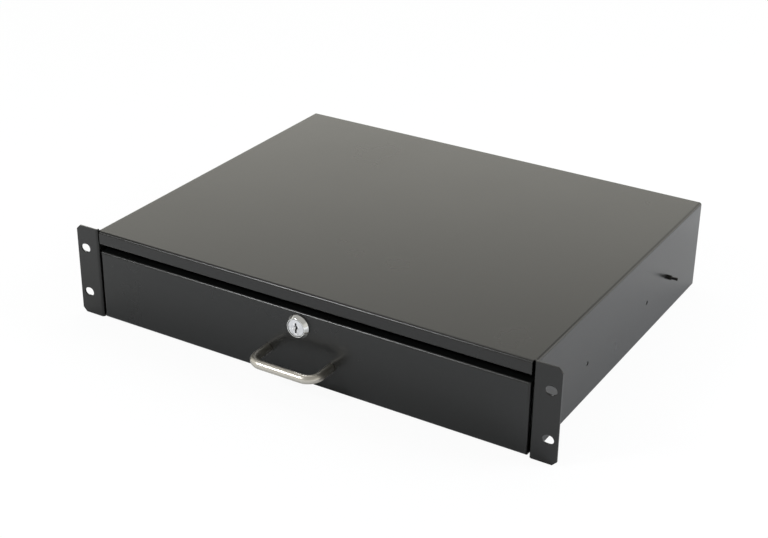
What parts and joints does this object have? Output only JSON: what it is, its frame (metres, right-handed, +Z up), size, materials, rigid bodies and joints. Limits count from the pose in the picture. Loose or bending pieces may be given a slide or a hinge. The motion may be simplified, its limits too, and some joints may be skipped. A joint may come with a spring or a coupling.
{
  "type": "sliding rack drawer",
  "caption": "Lockable steel drawer on telescopic ball-bearing rails, in a closed two-unit 19-inch rack housing with slotted ears, a pull handle and a cam lock.",
  "frame": {"origin": "centre of the four rack-ear slots, on the front face of the ears", "axes": "+X to the right across the rack, +Y to the back of the rack, +Z up; the drawer opens towards -Y"},
  "size_m": [0.4826, 0.3882, 0.0882],
  "materials": {
    "powder_coat": "fine-textured satin black powder coat on folded sheet steel",
    "front_coat": "the same satin black powder coat, on the drawer's front",
    "rivet_black": "black lacquered blind rivets",
    "zinc_rail": "bright zinc-plated cold-rolled steel",
    "cage_plastic": "black moulded polyoxymethylene",
    "ball_steel": "polished bearing steel",
    "buffer_rubber": "black moulded rubber",
    "zinc_screw": "bright zinc-plated steel",
    "black_screw": "black oxide steel",
    "satin_nickel": "satin nickel, brushed round the bar",
    "lock_chrome": "bright chrome plate on turned zinc",
    "lock_face": "satin chrome plate"
  },
  "bodies": {
    "housing": {"housing_shell": "powder_coat", "rear_panel": "powder_coat", "rear_panel_rivets": "rivet_black", "lock_strike": "powder_coat", "left_cabinet_rail": "zinc_rail", "right_cabinet_rail": "zinc_rail", "left_wall_screws": "zinc_screw", "right_wall_screws": "zinc_screw", "left_back_screw": "black_screw", "right_back_screw": "black_screw", "left_back_collar": "black_screw", "right_back_collar": "black_screw", "left_rail_buffer": "buffer_rubber", "right_rail_buffer": "buffer_rubber"},
    "drawer": {"drawer_tray": "powder_coat", "front_panel": "front_coat", "front_panel_nuts": "zinc_screw", "left_drawer_rail": "zinc_rail", "right_drawer_rail": "zinc_rail", "left_tray_screws": "zinc_screw", "right_tray_screws": "zinc_screw", "pull_handle": "satin_nickel", "handle_washers": "zinc_screw", "handle_screws": "zinc_screw", "lock_barrel": "lock_chrome", "lock_nut": "zinc_screw"},
    "lock_rotor": {"lock_plug": "lock_face", "lock_cam": "zinc_screw", "lock_cam_screw": "zinc_screw"},
    "left_middle_rail": {"left_middle_rail": "zinc_rail"},
    "right_middle_rail": {"right_middle_rail": "zinc_rail"},
    "left_outer_cage": {"left_outer_cage": "cage_plastic", "left_outer_balls": "ball_steel"},
    "right_outer_cage": {"right_outer_cage": "cage_plastic", "right_outer_balls": "ball_steel"},
    "left_inner_cage": {"left_inner_cage": "cage_plastic", "left_inner_balls": "ball_steel"},
    "right_inner_cage": {"right_inner_cage": "cage_plastic", "right_inner_balls": "ball_steel"}
  },
  "joints": [
    {"name": "drawer_slide", "type": "slide", "parent": "housing", "child": "drawer", "axis": [0, -1, 0], "range_m": [0, 0.3]},
    {"name": "left_middle_rail_slide", "type": "slide", "parent": "housing", "child": "left_middle_rail", "axis": [0, -1, 0], "range_m": [0, 0.15]},
    {"name": "right_middle_rail_slide", "type": "slide", "parent": "housing", "child": "right_middle_rail", "axis": [0, -1, 0], "range_m": [0, 0.15]},
    {"name": "left_outer_cage_slide", "type": "slide", "parent": "housing", "child": "left_outer_cage", "axis": [0, -1, 0], "range_m": [0, 0.075]},
    {"name": "right_outer_cage_slide", "type": "slide", "parent": "housing", "child": "right_outer_cage", "axis": [0, -1, 0], "range_m": [0, 0.075]},
    {"name": "left_inner_cage_slide", "type": "slide", "parent": "left_middle_rail", "child": "left_inner_cage", "axis": [0, -1, 0], "range_m": [0, 0.075]},
    {"name": "right_inner_cage_slide", "type": "slide", "parent": "right_middle_rail", "child": "right_inner_cage", "axis": [0, -1, 0], "range_m": [0, 0.075]},
    {"name": "lock_turn", "type": "hinge", "parent": "drawer", "child": "lock_rotor", "pos_m": [0, 0, 0.01045], "axis": [0, 1, 0], "range_deg": [0, 90]}
  ],
  "couplings": [
    {"joint": "left_middle_rail_slide", "follows": "drawer_slide", "ratio": 0.5},
    {"joint": "right_middle_rail_slide", "follows": "drawer_slide", "ratio": 0.5},
    {"joint": "left_outer_cage_slide", "follows": "drawer_slide", "ratio": 0.25},
    {"joint": "right_outer_cage_slide", "follows": "drawer_slide", "ratio": 0.25},
    {"joint": "left_inner_cage_slide", "follows": "drawer_slide", "ratio": 0.25},
    {"joint": "right_inner_cage_slide", "follows": "drawer_slide", "ratio": 0.25}
  ]
}
